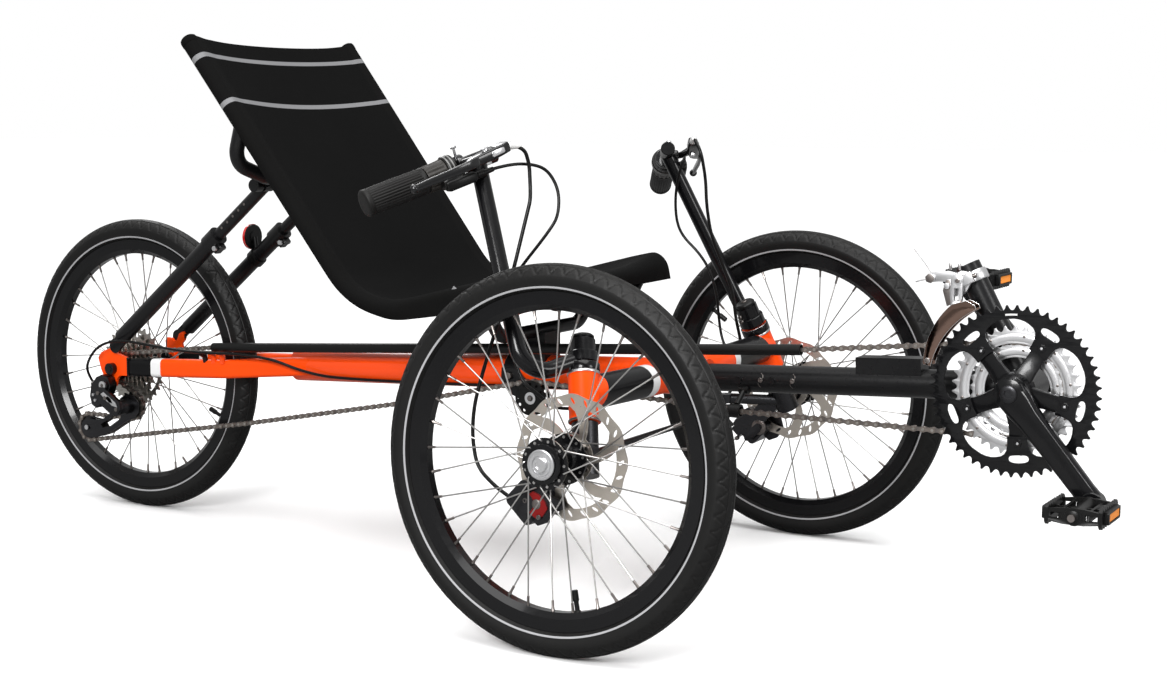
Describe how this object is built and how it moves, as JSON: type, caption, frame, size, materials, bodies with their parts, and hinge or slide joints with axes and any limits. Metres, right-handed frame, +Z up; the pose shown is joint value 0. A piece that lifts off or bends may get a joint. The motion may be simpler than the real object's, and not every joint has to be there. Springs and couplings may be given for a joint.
{
  "type": "recumbent tricycle",
  "caption": "Pedal tricycle with a reclined sling seat low between two steered front wheels, a driven rear wheel, a chain drive with derailleurs and disc brakes.",
  "frame": {"origin": "on the ground, midway between the rearmost point of the rear tyre and the foremost point of the pedal", "axes": "+X points ahead, +Y to the rider's left, +Z up"},
  "size_m": [1.8984, 0.8236, 0.7758],
  "materials": {
    "black_paint": "satin",
    "dark_steel": "oiled",
    "fabric": "matte",
    "hub": "satin",
    "orange_paint": "gloss",
    "plastic": "matte",
    "reflector": "gloss",
    "rim_black": "gloss",
    "rubber": "matte",
    "spoke": "polished",
    "steel": "brushed",
    "tyre": "matte"
  },
  "bodies": {
    "frame": {"accessory_mount": "plastic", "boom": "black_paint", "chain": "dark_steel", "chain_idler": "plastic", "chain_keeper": "black_paint", "chain_tube": "plastic", "cross_member": "orange_paint", "front_derailleur": "steel", "gear_cables": "plastic", "main_tube": "orange_paint", "rear_axle": "steel", "rear_derailleur": "steel", "rear_reflector": "reflector", "rear_stays": "orange_paint", "seat_frame": "black_paint", "seat_mount": "black_paint", "seat_sling": "fabric", "seat_struts": "black_paint", "strut_slides": "black_paint"},
    "right_knuckle": {"right_knuckle": "black_paint", "right_handlebar": "black_paint", "right_grip": "rubber", "right_shifter": "plastic", "right_brake_lever": "black_paint", "right_brake_caliper": "black_paint", "right_brake_cable": "plastic", "right_gear_cable": "plastic"},
    "left_knuckle": {"left_knuckle": "black_paint", "left_handlebar": "black_paint", "left_grip": "rubber", "left_shifter": "plastic", "left_brake_lever": "black_paint", "left_brake_caliper": "black_paint", "left_brake_cable": "plastic", "left_gear_cable": "plastic"},
    "tie_rod": {"tie_rod": "black_paint"},
    "right_front_wheel": {"right_front_tyre": "tyre", "right_front_rim": "rim_black", "right_front_spokes": "spoke", "right_front_hub": "hub", "right_brake_rotor": "steel"},
    "left_front_wheel": {"left_front_tyre": "tyre", "left_front_rim": "rim_black", "left_front_spokes": "spoke", "left_front_hub": "hub", "left_brake_rotor": "steel"},
    "rear_wheel": {"rear_tyre": "tyre", "rear_rim": "rim_black", "rear_spokes": "spoke", "rear_hub": "hub", "cassette": "dark_steel"},
    "crankset": {"chainrings": "dark_steel", "cranks": "black_paint"},
    "right_pedal": {"right_pedal": "plastic"},
    "left_pedal": {"left_pedal": "plastic"}
  },
  "joints": [
    {"name": "right_steering", "type": "hinge", "parent": "frame", "child": "right_knuckle", "pos_m": [0.31065, -0.27339, 0.311], "axis": [-0.2458, 0.3655, 0.8978], "range_deg": [-25, 25]},
    {"name": "left_steering", "type": "hinge", "parent": "frame", "child": "left_knuckle", "pos_m": [0.31065, 0.27339, 0.311], "axis": [-0.2458, -0.3655, 0.8978], "range_deg": [-25, 25]},
    {"name": "tie_rod_pivot", "type": "hinge", "parent": "right_knuckle", "child": "tie_rod", "pos_m": [0.2638, -0.24, 0.221], "axis": [-0.1691, 0.2962, 0.94], "range_deg": [-32, 32]},
    {"name": "right_front_wheel_spin", "type": "hinge", "parent": "right_knuckle", "child": "right_front_wheel", "pos_m": [0.3288, -0.375, 0.24286], "axis": [0, 0.9994, -0.0349], "continuous": true},
    {"name": "left_front_wheel_spin", "type": "hinge", "parent": "left_knuckle", "child": "left_front_wheel", "pos_m": [0.3288, 0.375, 0.24286], "axis": [0, 0.9994, 0.0349], "continuous": true},
    {"name": "rear_wheel_spin", "type": "hinge", "parent": "frame", "child": "rear_wheel", "pos_m": [-0.7062, 0, 0.243], "axis": [0, 1, 0], "continuous": true},
    {"name": "crank_spin", "type": "hinge", "parent": "frame", "child": "crankset", "pos_m": [0.7988, 0, 0.325], "axis": [0, 1, 0], "continuous": true},
    {"name": "right_pedal_spin", "type": "hinge", "parent": "crankset", "child": "right_pedal", "pos_m": [0.9092, -0.134, 0.20238], "axis": [0, 1, 0], "continuous": true},
    {"name": "left_pedal_spin", "type": "hinge", "parent": "crankset", "child": "left_pedal", "pos_m": [0.68839, 0.134, 0.44762], "axis": [0, 1, 0], "continuous": true}
  ],
  "couplings": [
    {"joint": "left_steering", "follows": "right_steering", "ratio": 1},
    {"joint": "tie_rod_pivot", "follows": "right_steering", "ratio": -1.2337}
  ]
}
